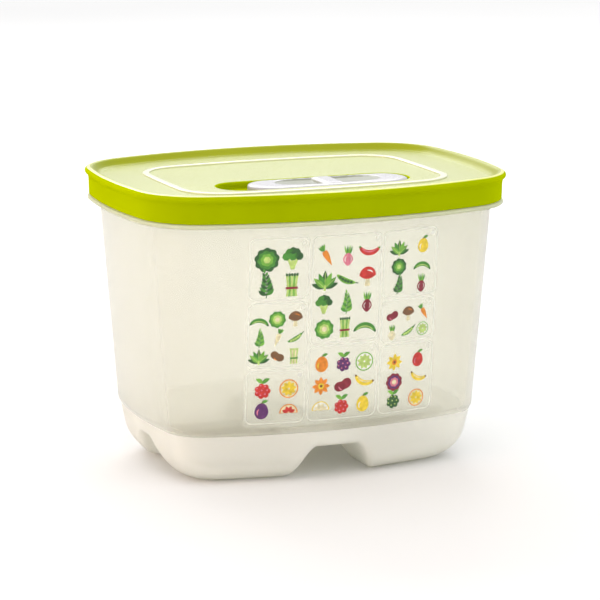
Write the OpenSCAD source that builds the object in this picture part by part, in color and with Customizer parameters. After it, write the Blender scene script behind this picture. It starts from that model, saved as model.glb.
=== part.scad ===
// Ventilated food keeper: a drafted clear tub on four moulded feet, a soft
// press-on lid with a sliding vent, and a clear print film on the front wall.
// Units are millimetres. +Z is up, the front (film) side looks toward -Y,
// and the origin is the centre of the footprint, on the resting plane.

/* [Plan outline of the lid bead] */
// Length over the lid bead
lid_l = 200; // [190:1:210]
// Width over the lid bead
lid_w = 153.4; // [146:0.2:160]
// Corner radius of the bead outline
corner_r = 34.7; // [32:0.1:37]
// Bow radius of the two long sides
bow_long = 256; // [240:1:320]
// Bow radius of the two short sides
bow_short = 259.4; // [240:0.2:320]

/* [Heights] */
// Height of the lid crest above the feet
top_z = 146.8; // [140:0.1:152]
// Height of the flange under the lid skirt
flange_z = 130.6; // [126:0.1:131]
// Height of the step between wall and base
step_z = 26; // [24:0.5:30]

/* [Tub] */
// Wall thickness
wall = 1.8; // [1.4:0.1:2.2]
// Inset of the wall below the flange, from the bead outline
wall_top_in = 7.4; // [7.2:0.1:8]
// Inset of the wall just above the step
wall_low_in = 15.7; // [15:0.1:16.2]
// Inset of the base just below the step
step_in = 16.9; // [16.5:0.1:17.5]
// Draft of the base below the step, in degrees
base_draft = 12; // [9:0.5:13]
// Height of the rounded lower edge
round_h = 15.5; // [14:0.1:18]
// Width of the rounded lower edge
round_w = 13.7; // [11:0.1:15]
// Height of the channels between the feet
arch_h = 17; // [14:0.1:18]
// Half width of the ceiling of the channel along Y
arch_top = 11; // [8:0.5:12]
// Half width of the channel along Y at the floor
arch_y = 24.2; // [22:0.1:26]
// Half width of the ceiling of the channel along X
arch_top_x = 5; // [4:0.5:8]
// Half width of the channel along X at the floor
arch_x = 23.3; // [20:0.1:25]

/* [Lid] */
// Radius of the rolled bead
bead_r = 2.3; // [2:0.1:2.5]
// Inset of the skirt from the bead outline
skirt_in = 2.2; // [2:0.1:2.6]
// Thickness of the lid panel
panel_t = 1.6; // [1.4:0.1:1.8]
// Depth of the panel below the crest
panel_drop = 3.4; // [3:0.1:3.8]
// Half length of the raised outline, to its centreline
ring_a = 69.6; // [66:0.2:72]
// Half width of the raised outline, to its centreline
ring_b = 47.2; // [45:0.2:50]
// Width of the raised outline
ring_w = 3; // [2:0.2:3.4]
// Height of the raised outline
ring_h = 0.8; // [0.5:0.1:1]

/* [Vent] */
// Y of the vent's centreline
vent_y = -23.9; // [-26:0.1:-20]
// Length of the slider
slider_l = 84; // [80:0.5:84]
// Width of the slider
slider_w = 25.8; // [24:0.2:26]
// Travel of the slider
travel = 16; // [12:0.5:16]
// Depth of the vent well below the panel
well_d = 3.6; // [3.2:0.1:4]
// Diameter of the two vent holes
vent_d = 5; // [4:0.5:5]
// Diameter of the slider's two stems
stem_d = 4; // [3.5:0.1:4.4]

/* [Print film] */
// Length of the film along the front wall
film_l = 101; // [90:1:104]
// Height of the film's upper edge
film_top = 126; // [118:1:127]
// Height of the film's lower edge
film_low = 30; // [29:1:40]
// Thickness of the film
film_t = 0.15; // [0.1:0.01:0.2]

/* [Hidden] */
$fn = 64;
A = lid_l / 2;
B = lid_w / 2;
flange_t = 2;
flange_in = 1.3;
collar_in = 4.7;
collar_z = top_z - 5.6;
panel_z = top_z - panel_drop;
skirt_z = flange_z + flange_t + 0.3;
step_h = 2.8;
edge_r = corner_r - step_in;
well_z = panel_z - well_d;
gap = 0.4;
well_l = slider_l + travel + 2 * gap;
rest_x = travel / 2;
stem_x = 23;
hole_x = [-8, 0];

// ---- plan outline: two bowed long sides, two bowed short sides, round corners
// Centre of the corner arc, tangent inside both bow arcs
function corner_c(a, b, r, R1, R2) =
    let (c1 = [0, b - R1], c2 = [a - R2, 0], d1 = R1 - r, d2 = R2 - r,
         D = c2 - c1, d = norm(D), u = D / d, v = [-u[1], u[0]],
         x = (d1 * d1 - d2 * d2 + d * d) / (2 * d), h = sqrt(max(d1 * d1 - x * x, 0)),
         p = c1 + x * u + h * v, q = c1 + x * u - h * v)
    p[0] + p[1] > q[0] + q[1] ? p : q;

// First quadrant, from (a, 0) to (0, b)
function quadrant(a, b, r, R1, R2) =
    let (c = corner_c(a, b, r, R1, R2), c1 = [0, b - R1], c2 = [a - R2, 0],
         t1 = atan2(c[1] - c1[1], c[0] - c1[0]), t2 = atan2(c[1] - c2[1], c[0] - c2[0]))
    concat(
        [for (i = [0:3]) let (t = t2 * i / 4) c2 + R2 * [cos(t), sin(t)]],
        [for (i = [0:5]) let (t = t2 + (t1 - t2) * i / 6) c + r * [cos(t), sin(t)]],
        [for (i = [0:5]) let (t = t1 + (90 - t1) * i / 5) c1 + R1 * [cos(t), sin(t)]]);

// Whole outline, set in by d from the lid bead, counterclockwise
function ring_pts(d) =
    let (r = d > step_in ? edge_r - 0.29 * (d - step_in) : corner_r - d, q = quadrant(A - d, B - d, r, bow_long - d, bow_short - d), m = len(q) - 1)
    concat([for (i = [0:m - 1]) q[i]],
           [for (i = [m:-1:1]) [-q[i][0], q[i][1]]],
           [for (i = [0:m - 1]) -q[i]],
           [for (i = [m:-1:1]) [q[i][0], -q[i][1]]]);

// Closed solid through a list of [inset, z] levels that runs bottom to top
module loft(levels) {
    n = len(ring_pts(0));
    k = len(levels);
    pts = [for (l = levels) for (p = ring_pts(l[0])) [p[0], p[1], l[1]]];
    sides = [for (j = [0:k - 2]) for (i = [0:n - 1])
        let (i2 = (i + 1) % n) [j * n + i, (j + 1) * n + i, (j + 1) * n + i2, j * n + i2]];
    polyhedron(
        points = pts,
        faces = concat([[for (i = [0:n - 1]) i]], sides,
                       [[for (i = [n - 1:-1:0]) (k - 1) * n + i]]),
        convexity = 6);
}

// Ring-shaped solid whose section is a closed loop of [inset, z] points, which
// starts at the crest and runs down the outside first
module hoop(loop) {
    n = len(ring_pts(0));
    k = len(loop);
    pts = [for (h = [k - 1:-1:0]) let (l = loop[h]) for (p = ring_pts(l[0])) [p[0], p[1], l[1]]];
    polyhedron(
        points = pts,
        faces = [for (j = [0:k - 1]) for (i = [0:n - 1])
            let (i2 = (i + 1) % n, j2 = (j + 1) % k)
            [j * n + i, j2 * n + i, j2 * n + i2, j * n + i2]],
        convexity = 6);
}

// ---- base section below the step: draft, then a rounded edge
function base_in(z) =
    let (u = max(0, (round_h - z) / round_h))
    step_in + tan(base_draft) * (step_z - z) + round_w * (1 - sqrt(1 - u * u));
base_zs = [0, 0.25, 1.1, 2.6, 4.6, 7.2, 10.2, 13.6, 18, step_z];
function base_out() = [for (z = base_zs) [base_in(z), z]];
// The same section moved inward along its normal by the wall thickness
function base_inner() =
    let (P = base_out(), n = len(P))
    concat([[P[0][0] + 0.6, wall]],
        [for (i = [1:n - 1])
            let (t = (i < n - 1 ? P[i + 1] - P[i - 1] : P[i] - P[i - 1]), l = norm(t))
            P[i] + wall * [t[1], -t[0]] / l + (i == 1 ? [0, 0.12] : [0, 0])]);

// Profile of the channel between two feet: flat ceiling and S-shaped flanks
function flank(u) = 1 - (3 * u * u - 2 * u * u * u);
function channel(top, foot, h) = concat(
    [for (i = [0:10]) let (u = 1 - i / 10) [-(top + (foot - top) * u), h * flank(u)]],
    [for (i = [0:10]) let (u = i / 10) [top + (foot - top) * u, h * flank(u)]]);

module channels(t) {
    // along Y, open to the front and the back
    rotate([90, 0, 0]) linear_extrude(2 * B, center = true)
        polygon(concat([[-arch_y - t, -2]], [for (p = channel(arch_top + t / 2, arch_y + t, arch_h)) p + [0, t]], [[arch_y + t, -2]]));
    // along X, open to both ends
    rotate([90, 0, 90]) linear_extrude(2 * A, center = true)
        polygon(concat([[-arch_x - t, -2]], [for (p = channel(arch_top_x + t / 2, arch_x + t, arch_h - 0.05)) p + [0, t]], [[arch_x + t, -2]]));
}

function wall_in(z) = wall_low_in + (wall_top_in - wall_low_in) * (z - step_z - step_h) / (flange_z - step_z - step_h);

module tub() color([0.90, 0.89, 0.82, 0.6]) difference() {
    difference() {
        loft(concat(base_out(), [
            [wall_low_in, step_z + step_h],
            [wall_top_in, flange_z],
            [flange_in + 0.3, flange_z + 0.05],
            [flange_in, flange_z + 0.35],
            [flange_in, flange_z + flange_t - 0.3],
            [flange_in + 0.3, flange_z + flange_t - 0.05],
            [collar_in, flange_z + flange_t],
            [collar_in, collar_z - 3.2],
            [collar_in - 0.35, collar_z - 2.4],
            [collar_in, collar_z - 1.4],
            [collar_in + 0.5, collar_z]]));
        channels(0);
    }
    difference() {
        loft(concat(base_inner(), [
            [wall_low_in + wall, step_z + step_h + 0.6],
            [wall_top_in + wall, flange_z],
            [collar_in + wall, flange_z + flange_t],
            [collar_in + wall, collar_z + 1]]));
        channels(wall + 0.1);
    }
}

// Clear film that lies on the bowed, drafted front wall, with round corners
film_nx = 20;
// Rows of the film: height and half length, with a 4 mm corner radius
function film_rows() = let (r = 4)
    concat([for (i = [0:4]) let (g = i * 22.5) [film_low + r * (1 - cos(g)) , film_l / 2 - r * (1 - sin(g))]],
           [for (i = [4:-1:0]) let (g = i * 22.5) [film_top - r * (1 - cos(g)), film_l / 2 - r * (1 - sin(g))]]);
// One face of the film, standing off the wall by g
function film_skin(g) = [for (q = film_rows()) for (i = [0:film_nx])
    let (x = q[1] * (2 * i / film_nx - 1), d = wall_in(q[0]) - g, R = bow_long - d)
    [x, -(B - d - R + sqrt(R * R - x * x)), q[0]]];
module print_film() {
    nx = film_nx;
    k = len(film_rows());
    m = nx + 1;
    N = k * m;
    edge = concat([for (i = [0:nx - 1]) i], [for (j = [0:k - 2]) j * m + nx],
                  [for (i = [nx:-1:1]) (k - 1) * m + i], [for (j = [k - 1:-1:1]) j * m]);
    E = len(edge);
    color([0.88, 0.92, 0.78, 0.8]) polyhedron(
        points = concat(film_skin(0.03 + film_t), film_skin(0.03)),
        faces = concat(
            [for (j = [0:k - 2]) for (i = [0:nx - 1]) [j * m + i, (j + 1) * m + i, (j + 1) * m + i + 1, j * m + i + 1]],
            [for (j = [0:k - 2]) for (i = [0:nx - 1]) [N + j * m + i, N + j * m + i + 1, N + (j + 1) * m + i + 1, N + (j + 1) * m + i]],
            [for (i = [0:E - 1]) let (i2 = (i + 1) % E) [edge[i], edge[i2], N + edge[i2], N + edge[i]]]),
        convexity = 4);
}

// Stadium outline of length l and width w
module stadium(l, w) {
    square([l - w, w], center = true);
    for (s = [-1, 1]) translate([s * (l - w) / 2, 0]) circle(w / 2);
}

// Raised outline on the lid: its own flatter bow
module outline_ridge() {
    p = concat_loop(ring_a + ring_w / 2, ring_b + ring_w / 2, 22.5, 453.5, 809.5);
    q = concat_loop(ring_a - ring_w / 2, ring_b - ring_w / 2, 19.5, 450.5, 806.5);
    translate([0, 0, panel_z - 0.2]) linear_extrude(ring_h + 0.2) difference() {
        polygon(p);
        polygon(q);
    }
}
function concat_loop(a, b, r, R1, R2) =
    let (q = quadrant(a, b, r, R1, R2), m = len(q) - 1)
    concat([for (i = [0:m - 1]) q[i]],
           [for (i = [m:-1:1]) [-q[i][0], q[i][1]]],
           [for (i = [0:m - 1]) -q[i]],
           [for (i = [m:-1:1]) [q[i][0], -q[i][1]]]);

module lid_rim() {
    zc = top_z - bead_r;
    t = 1.7;
    // down the outside, across the bottom of the skirt, up inside, round the
    // seal wall, and back along the panel's edge to the crest
    hoop(concat(
        [for (i = [0:5]) let (g = 90 - i * 30) [bead_r - bead_r * cos(g), zc + bead_r * sin(g)]],
        [[skirt_in, zc - bead_r - 0.3],
         [skirt_in, skirt_z],
         [skirt_in + t, skirt_z],
         [skirt_in + t, panel_z - panel_t - 0.4],
         [collar_in + wall + 0.5, panel_z - panel_t - 0.4],
         [collar_in + wall + 0.5, flange_z + flange_t + 1.4],
         [collar_in + wall + 1.0, flange_z + flange_t + 0.8],
         [collar_in + wall + 1.9, flange_z + flange_t + 0.8],
         [collar_in + wall + 2.1, panel_z - panel_t],
         [collar_in + wall + 4, panel_z - panel_t],
         [collar_in + wall + 4, panel_z],
         [bead_r + 4.6, panel_z],
         [bead_r + 3.1, panel_z + 0.35],
         [bead_r + 2.0, panel_z + 1.3],
         [bead_r + 1.0, top_z - 0.5]]));
}

module lid() color([0.72, 0.80, 0.05]) difference() {
    union() {
        lid_rim();
        translate([0, 0, panel_z - panel_t]) linear_extrude(panel_t) polygon(ring_pts(collar_in + wall + 3));
        outline_ridge();
        // vent well, hanging below the panel
        translate([0, vent_y, well_z - panel_t]) linear_extrude(well_d + 0.2) stadium(well_l + 3, slider_w + 2 * gap + 3);
        // two rails that guide the gate under the well
        for (s = [-1, 1]) translate([-well_l / 2 + 6, vent_y + s * 8.7 - 0.6, well_z - panel_t - 1.5])
            cube([well_l - 12, 1.2, 1.6]);
    }
    translate([0, vent_y, well_z]) linear_extrude(10) stadium(well_l, slider_w + 2 * gap);
    // guide slots for the two stems, and the two vent holes
    for (s = [-1, 1])
        translate([rest_x + s * stem_x - travel / 2, vent_y, well_z - panel_t - 1])
            linear_extrude(panel_t + 2) stadium(travel + stem_d + 0.5, stem_d + 0.4);
    for (x = hole_x)
        translate([x, vent_y, well_z - panel_t - 1]) cylinder(d = vent_d, h = panel_t + 2);
}

// Slider: a hollow white shuttle with two finger dishes and a grip bar
module vent_slider() color([0.95, 0.95, 0.97]) {
    z0 = well_z + 0.1;
    top = panel_z + 0.1;
    translate([rest_x, vent_y, 0]) difference() {
        union() {
            translate([0, 0, z0]) linear_extrude(top - z0) stadium(slider_l, slider_w);
            translate([-4, -slider_w / 2 + 2.2, top - 0.1]) cube([8, slider_w - 4.4, 0.9]);
            for (s = [-1, 1]) translate([s * stem_x, 0, well_z - panel_t - 2.6])
                cylinder(d = stem_d, h = panel_t + 4);
            for (s = [-1, 1]) translate([s * stem_x, 0, well_z - panel_t - 2.9])
                cylinder(d1 = stem_d - 0.8, d2 = stem_d + 1, h = 1);
        }
        // finger dishes
        for (s = [-1, 1]) translate([s * 16.5, 0, top + 55.2]) rotate([0, 90, 0])
            cylinder(r = 56.6, h = 24, center = true, $fn = 128);
        // hollow underside
        translate([0, 0, z0 - 1]) linear_extrude(1.9) difference() {
            stadium(slider_l - 3, slider_w - 3);
            for (s = [-1, 1]) translate([s * stem_x, 0]) circle(3.6);
        }
        // air notches through the lower rim
        for (s = [-1:1]) translate([s * 20 - 4, -slider_w, z0 - 1]) cube([8, 2 * slider_w, 1.8]);
    }
}

// Gate: the lower half of the shuttle, snapped on the stems under the well. It
// always covers the guide slots. Halfway along its travel one of its windows
// meets a vent hole, and at the far end both do.
module vent_gate() color([0.93, 0.93, 0.95]) {
    gt = 1.4;
    zt = well_z - panel_t - 0.1;
    translate([rest_x, vent_y, zt - gt]) linear_extrude(gt) difference() {
        stadium(slider_l, 15);
        for (s = [-1, 1]) translate([s * stem_x, 0]) circle(d = stem_d + 0.06);
        for (x = hole_x) translate([x - rest_x + travel, 0]) circle(d = vent_d);
    }
}

tub();
print_film();
lid();
vent_slider();
vent_gate();
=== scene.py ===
# Ventilated food keeper: the looks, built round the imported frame.
# Lengths are written in millimetres and turned to metres when a mesh is made.
import math
import random

import bmesh
import bpy
from mathutils import Matrix, Vector
from mathutils.geometry import tessellate_polygon


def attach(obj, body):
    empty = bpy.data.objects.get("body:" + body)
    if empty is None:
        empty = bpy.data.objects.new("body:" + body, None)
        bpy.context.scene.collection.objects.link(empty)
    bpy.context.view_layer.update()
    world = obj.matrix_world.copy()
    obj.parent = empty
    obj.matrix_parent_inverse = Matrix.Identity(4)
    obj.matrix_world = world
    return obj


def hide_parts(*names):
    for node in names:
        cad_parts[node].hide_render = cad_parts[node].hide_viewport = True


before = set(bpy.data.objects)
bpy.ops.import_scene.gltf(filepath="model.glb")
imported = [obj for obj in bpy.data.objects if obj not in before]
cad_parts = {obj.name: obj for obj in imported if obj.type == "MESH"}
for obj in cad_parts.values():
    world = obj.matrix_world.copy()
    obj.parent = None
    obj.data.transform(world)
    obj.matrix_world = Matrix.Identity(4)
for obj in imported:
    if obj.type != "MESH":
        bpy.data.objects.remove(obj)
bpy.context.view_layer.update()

MM = 0.001

# ------------------------------------------------------------------ sizes
A, B = 100.0, 76.7
CORNER, BOW_L, BOW_S = 34.7, 256.0, 259.4
TOP, FLANGE, STEP = 146.8, 130.6, 26.0
WALL, TOP_IN, LOW_IN, STEP_IN = 1.8, 7.4, 15.7, 16.9
ROUND_H, ROUND_W, DRAFT = 15.5, 13.7, math.radians(12)
ARCH_H, ARCH_TOP, ARCH_Y, ARCH_TOP_X, ARCH_X = 17.0, 11.0, 24.2, 5.0, 23.3
PANEL = TOP - 3.4
VENT_Y = -23.9
SLIDER_L, SLIDER_W, TRAVEL, GAP = 84.0, 25.8, 16.0, 0.4
WELL_L, WELL_W = SLIDER_L + TRAVEL + 2 * GAP, SLIDER_W + 2 * GAP
WELL_Z = PANEL - 3.6
REST_X, STEM_X = TRAVEL / 2, 23.0
FILM_L, FILM_TOP, FILM_LOW, FILM_T = 101.0, 126.0, 30.0, 0.15


# ---------------------------------------------------------------- outlines
def corner_c(a, b, r, R1, R2):
    c1, c2 = (0.0, b - R1), (a - R2, 0.0)
    d1, d2 = R1 - r, R2 - r
    dx, dy = c2[0] - c1[0], c2[1] - c1[1]
    d = math.hypot(dx, dy)
    u = (dx / d, dy / d)
    v = (-u[1], u[0])
    x = (d1 * d1 - d2 * d2 + d * d) / (2 * d)
    h = math.sqrt(max(d1 * d1 - x * x, 0))
    p = (c1[0] + x * u[0] + h * v[0], c1[1] + x * u[1] + h * v[1])
    q = (c1[0] + x * u[0] - h * v[0], c1[1] + x * u[1] - h * v[1])
    return p if sum(p) > sum(q) else q


def quadrant(a, b, r, R1, R2, fine=26.0):
    """First quadrant of the plan outline, from (a, 0) to (0, b), with closer points near both ends."""
    c = corner_c(a, b, r, R1, R2)
    c1, c2 = (0.0, b - R1), (a - R2, 0.0)
    t1 = math.atan2(c[1] - c1[1], c[0] - c1[0])
    t2 = math.atan2(c[1] - c2[1], c[0] - c2[0])
    m2 = t2 * min(0.6, fine / max(t2 * R2, 1e-6))
    m1 = max(t1, math.pi / 2 - fine / R1)
    if m1 <= t1 + 1e-6:
        m1 = t1 + (math.pi / 2 - t1) * 0.4
    pts = []
    for i in range(16):
        t = m2 * i / 16
        pts.append((c2[0] + R2 * math.cos(t), c2[1] + R2 * math.sin(t)))
    for i in range(5):
        t = m2 + (t2 - m2) * i / 5
        pts.append((c2[0] + R2 * math.cos(t), c2[1] + R2 * math.sin(t)))
    for i in range(16):
        t = t2 + (t1 - t2) * i / 16
        pts.append((c[0] + r * math.cos(t), c[1] + r * math.sin(t)))
    for i in range(9):
        t = t1 + (m1 - t1) * i / 9
        pts.append((c1[0] + R1 * math.cos(t), c1[1] + R1 * math.sin(t)))
    for i in range(21):
        t = m1 + (math.pi / 2 - m1) * i / 20
        pts.append((c1[0] + R1 * math.cos(t), c1[1] + R1 * math.sin(t)))
    return pts


def mirror4(q):
    m = len(q) - 1
    return (
        [q[i] for i in range(m)]
        + [(-q[i][0], q[i][1]) for i in range(m, 0, -1)]
        + [(-q[i][0], -q[i][1]) for i in range(m)]
        + [(q[i][0], -q[i][1]) for i in range(m, 0, -1)]
    )


_rings = {}


def outline(d):
    """The plan outline set in by d from the lid bead."""
    key = round(d, 4)
    if key not in _rings:
        r = CORNER - d if d < STEP_IN else CORNER - STEP_IN - 0.29 * (d - STEP_IN)
        _rings[key] = mirror4(quadrant(A - d, B - d, r, BOW_L - d, BOW_S - d))
    return _rings[key]


def level(d, z):
    return [(x, y, z) for x, y in outline(d)]


def ridge_level(o, z):
    """The raised outline's own flatter plan, o out from its centreline."""
    q = quadrant(69.6 + o, 47.2 + o, 21.0 + o, 452.0 + o, 808.0 + o)
    return [(x, y, z) for x, y in mirror4(q)]


def stadium(cx, cy, length, width, off, z, arc=24, run=14):
    """A stadium outline, widened by off on every side."""
    r, h = width / 2, (length - width) / 2
    pts = []
    for s, a0 in ((1, -90), (-1, 90)):
        for i in range(arc + 1):
            t = math.radians(a0 + 180 * i / arc)
            pts.append(
                (
                    cx + s * h + (r + off) * math.cos(t),
                    cy + (r + off) * math.sin(t),
                    z,
                )
            )
        for i in range(1, run):
            pts.append(
                (cx + s * h * (1 - 2 * i / run), cy + s * (r + off), z)
            )
    return pts


def circle(cx, cy, r, z, n=32):
    return [
        (
            cx + r * math.cos(2 * math.pi * i / n),
            cy + r * math.sin(2 * math.pi * i / n),
            z,
        )
        for i in range(n)
    ]


# ------------------------------------------------------------ mesh building
class Shell:
    """Collects rings and faces in millimetres, and makes one closed mesh of them."""

    def __init__(self):
        self.v, self.f, self.m = [], [], []

    def ring(self, pts):
        s = len(self.v)
        self.v.extend(pts)
        return list(range(s, s + len(pts)))

    def face(self, ids, mat=0):
        self.f.append(tuple(ids))
        self.m.append(mat)

    def bridge(self, a, b, mat=0):
        n = len(a)
        for i in range(n):
            j = (i + 1) % n
            self.face((a[i], a[j], b[j], b[i]), mat)

    def loft(self, rings, mat=0, closed=False):
        for a, b in zip(rings, rings[1:]):
            self.bridge(a, b, mat)
        if closed:
            self.bridge(rings[-1], rings[0], mat)

    def fan(self, a, point, mat=0):
        c = len(self.v)
        self.v.append(point)
        n = len(a)
        for i in range(n):
            self.face((a[i], a[(i + 1) % n], c), mat)

    def fill(self, loops, mat=0):
        ids = [i for loop in loops for i in loop]
        for t in tessellate_polygon([[Vector(self.v[i]) for i in loop] for loop in loops]):
            self.face([ids[k] for k in t], mat)

    def make(self, name, mats, body, slot, sharp=38.0, replaces=()):
        me = bpy.data.meshes.new(name)
        me.from_pydata([(x * MM, y * MM, z * MM) for x, y, z in self.v], [], self.f)
        for m in mats:
            me.materials.append(m)
        me.polygons.foreach_set("material_index", self.m)
        bm = bmesh.new()
        bm.from_mesh(me)
        bmesh.ops.recalc_face_normals(bm, faces=bm.faces)
        loose = sum(1 for e in bm.edges if len(e.link_faces) != 2)
        if loose:
            print("OPEN EDGES", name, loose)
        bm.to_mesh(me)
        bm.free()
        me.polygons.foreach_set("use_smooth", [True] * len(me.polygons))
        me.set_sharp_from_angle(angle=math.radians(sharp))
        ob = bpy.data.objects.new(name, me)
        bpy.context.scene.collection.objects.link(ob)
        for n in replaces:
            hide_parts(n)
        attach(ob, body)
        return ob


# --------------------------------------------------------------- materials
def new_mat(name):
    m = bpy.data.materials.new(name)
    m.use_nodes = True
    nt = m.node_tree
    p = nt.nodes["Principled BSDF"]
    return m, nt, p


def node(nt, kind, **values):
    n = nt.nodes.new(kind)
    for k, v in values.items():
        if k in n.inputs:
            n.inputs[k].default_value = v
        else:
            setattr(n, k, v)
    return n


def noise(nt, coord, scale, detail=3.0, rough=0.5, stretch=None):
    """A noise texture on object coordinates, in metres, so scale is in cells per metre."""
    src = coord.outputs["Object"]
    if stretch:
        mp = node(nt, "ShaderNodeMapping")
        mp.inputs["Scale"].default_value = stretch
        nt.links.new(src, mp.inputs["Vector"])
        src = mp.outputs["Vector"]
    n = node(nt, "ShaderNodeTexNoise", Scale=scale, Detail=detail, Roughness=rough)
    nt.links.new(src, n.inputs["Vector"])
    return n


def ramp(nt, fac, stops):
    r = node(nt, "ShaderNodeValToRGB")
    e = r.color_ramp.elements
    while len(e) < len(stops):
        e.new(0.5)
    for k, (pos, col) in enumerate(stops):
        e[k].position = pos
        e[k].color = col if len(col) == 4 else (*col, 1.0)
    nt.links.new(fac, r.inputs["Fac"])
    return r


def span(nt, value, a, b, lo=0.35, hi=0.65):
    """Maps a noise value onto a .. b."""
    m = node(nt, "ShaderNodeMapRange")
    m.inputs["From Min"].default_value = lo
    m.inputs["From Max"].default_value = hi
    m.inputs["To Min"].default_value = a
    m.inputs["To Max"].default_value = b
    nt.links.new(value, m.inputs["Value"])
    return m.outputs["Result"]


def bump(nt, p, height, strength, distance):
    b = node(nt, "ShaderNodeBump")
    b.inputs["Strength"].default_value = strength
    b.inputs["Distance"].default_value = distance
    nt.links.new(height, b.inputs["Height"])
    nt.links.new(b.outputs["Normal"], p.inputs["Normal"])


def milky(name, base, milk, rough_a, rough_b, grain, haze, ior=1.46):
    """Translucent moulded plastic: a clear part with a slightly cloudy tint, and a scattering part that
    glows with the light behind it. Soft flow waves and a very fine grain lie on the surface."""
    m, nt, p = new_mat(name)
    tc = node(nt, "ShaderNodeTexCoord")
    cloud = noise(nt, tc, 30.0, 3.0, 0.5, (1.0, 1.0, 0.4))
    c = ramp(
        nt,
        cloud.outputs["Fac"],
        [
            (0.30, [x * 0.985 for x in base]),
            (0.70, [min(1.0, x * 1.01) for x in base]),
        ],
    )
    nt.links.new(c.outputs["Color"], p.inputs["Base Color"])
    fine = noise(nt, tc, 900.0, 2.0, 0.5)
    nt.links.new(
        span(nt, fine.outputs["Fac"], rough_a, rough_b), p.inputs["Roughness"]
    )
    p.inputs["IOR"].default_value = ior
    p.inputs["Transmission Weight"].default_value = haze
    wave = noise(nt, tc, 14.0, 1.0, 0.4, (1.0, 1.0, 0.35))
    add = node(nt, "ShaderNodeMath", operation="MULTIPLY_ADD")
    add.inputs[1].default_value = grain
    nt.links.new(fine.outputs["Fac"], add.inputs[0])
    nt.links.new(wave.outputs["Fac"], add.inputs[2])
    bump(nt, p, add.outputs[0], 0.3, 0.00025)
    glow = node(nt, "ShaderNodeBsdfTranslucent")
    nt.links.new(c.outputs["Color"], glow.inputs["Color"])
    mix = node(nt, "ShaderNodeMixShader")
    mix.inputs["Fac"].default_value = milk
    nt.links.new(p.outputs[0], mix.inputs[1])
    nt.links.new(glow.outputs[0], mix.inputs[2])
    nt.links.new(mix.outputs[0], nt.nodes["Material Output"].inputs["Surface"])
    return m


def satin(name, base, rough_a, rough_b, grain_scale, grain_depth, coat=0.0, spec=0.5, deep=0.0):
    """Opaque moulded plastic: slight colour drift and a fine spark-eroded grain."""
    m, nt, p = new_mat(name)
    tc = node(nt, "ShaderNodeTexCoord")
    drift = noise(nt, tc, 22.0, 3.0, 0.5)
    c = ramp(
        nt,
        drift.outputs["Fac"],
        [
            (0.28, [x * 0.95 for x in base]),
            (0.72, [min(1.0, x * 1.04) for x in base]),
        ],
    )
    nt.links.new(c.outputs["Color"], p.inputs["Base Color"])
    grain = noise(nt, tc, grain_scale, 2.5, 0.6)
    nt.links.new(
        span(nt, grain.outputs["Fac"], rough_a, rough_b), p.inputs["Roughness"]
    )
    p.inputs["Specular IOR Level"].default_value = spec
    if deep:
        p.inputs["Subsurface Weight"].default_value = deep
        p.inputs["Subsurface Radius"].default_value = (1.0, 1.0, 0.4)
        p.inputs["Subsurface Scale"].default_value = 0.0025
    if coat:
        p.inputs["Coat Weight"].default_value = coat
        p.inputs["Coat Roughness"].default_value = 0.12
    bump(nt, p, grain.outputs["Fac"], 0.5, grain_depth)
    return m


MILKY = milky("tub_wall_plastic", (0.970, 0.960, 0.895), 0.16, 0.10, 0.16, 0.010, 0.90)
MILKY_BASE = milky("tub_base_plastic", (1.0, 0.986, 0.935), 0.34, 0.28, 0.34, 0.002, 0.40, 1.20)
# the flange's lime-tinted cream is a painted glow: it stands for the lid's lime shining onto the flange, and stays lime
# with the lid lifted
MILKY_RIM_PAINTED_GLOW = milky("tub_rim_painted_lime_glow", (0.800, 0.822, 0.600), 0.40, 0.30, 0.38, 0.010, 0.30, 1.30)
LIME = satin("lid_rim_lime", (0.315, 0.385, 0.000), 0.40, 0.48, 2600.0, 0.00002, 0.0, 0.0, 0.6)
LIME_PANEL = satin("lid_panel_lime", (0.290, 0.325, 0.004), 0.26, 0.34, 3400.0, 0.00003, 0.0, 1.0)
# the crest's paler lime is a painted highlight along the top of the bead
LIME_CREST_PAINTED_HIGHLIGHT = satin("lid_crest_painted_highlight", (0.62, 0.64, 0.12), 0.28, 0.36, 3400.0, 0.00002, 0.0, 1.0)
# the steep side between the panel and the crest is duller
LIME_SLOPE = satin("lid_slope_lime", (0.290, 0.325, 0.004), 0.26, 0.34, 3400.0, 0.00003, 0.0, 0.17)
# the raised outline is moulded in the lid's lime; its pale cream colour is a painted highlight
RIDGE_PAINTED_HIGHLIGHT = satin("lid_outline_painted_highlight", (0.62, 0.64, 0.40), 0.16, 0.22, 2600.0, 0.00001, 0.5)
WHITE = satin("vent_white", (0.375, 0.370, 0.400), 0.22, 0.30, 2800.0, 0.000015, 0.1)
# the finger dishes are the same white plastic as the shuttle; their grey is painted shade for the hollows
DISH_PAINTED_SHADE = satin("vent_dish_painted_shade", (0.255, 0.270, 0.215), 0.30, 0.38, 2800.0, 0.00002, 0.0, 0.15)
GATE = satin("vent_gate_white", (0.76, 0.765, 0.79), 0.30, 0.40, 2400.0, 0.00003)


def film_mat():
    m, nt, p = new_mat("film_clear")
    tc = node(nt, "ShaderNodeTexCoord")
    n = noise(nt, tc, 60.0, 3.0, 0.5)
    c = ramp(nt, n.outputs["Fac"], [(0.3, (0.900, 0.930, 0.780)), (0.7, (0.940, 0.955, 0.840))])
    nt.links.new(c.outputs["Color"], p.inputs["Base Color"])
    nt.links.new(span(nt, n.outputs["Fac"], 0.18, 0.26), p.inputs["Roughness"])
    p.inputs["IOR"].default_value = 1.40
    p.inputs["Alpha"].default_value = 0.10
    return m


FILM = film_mat()


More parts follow.
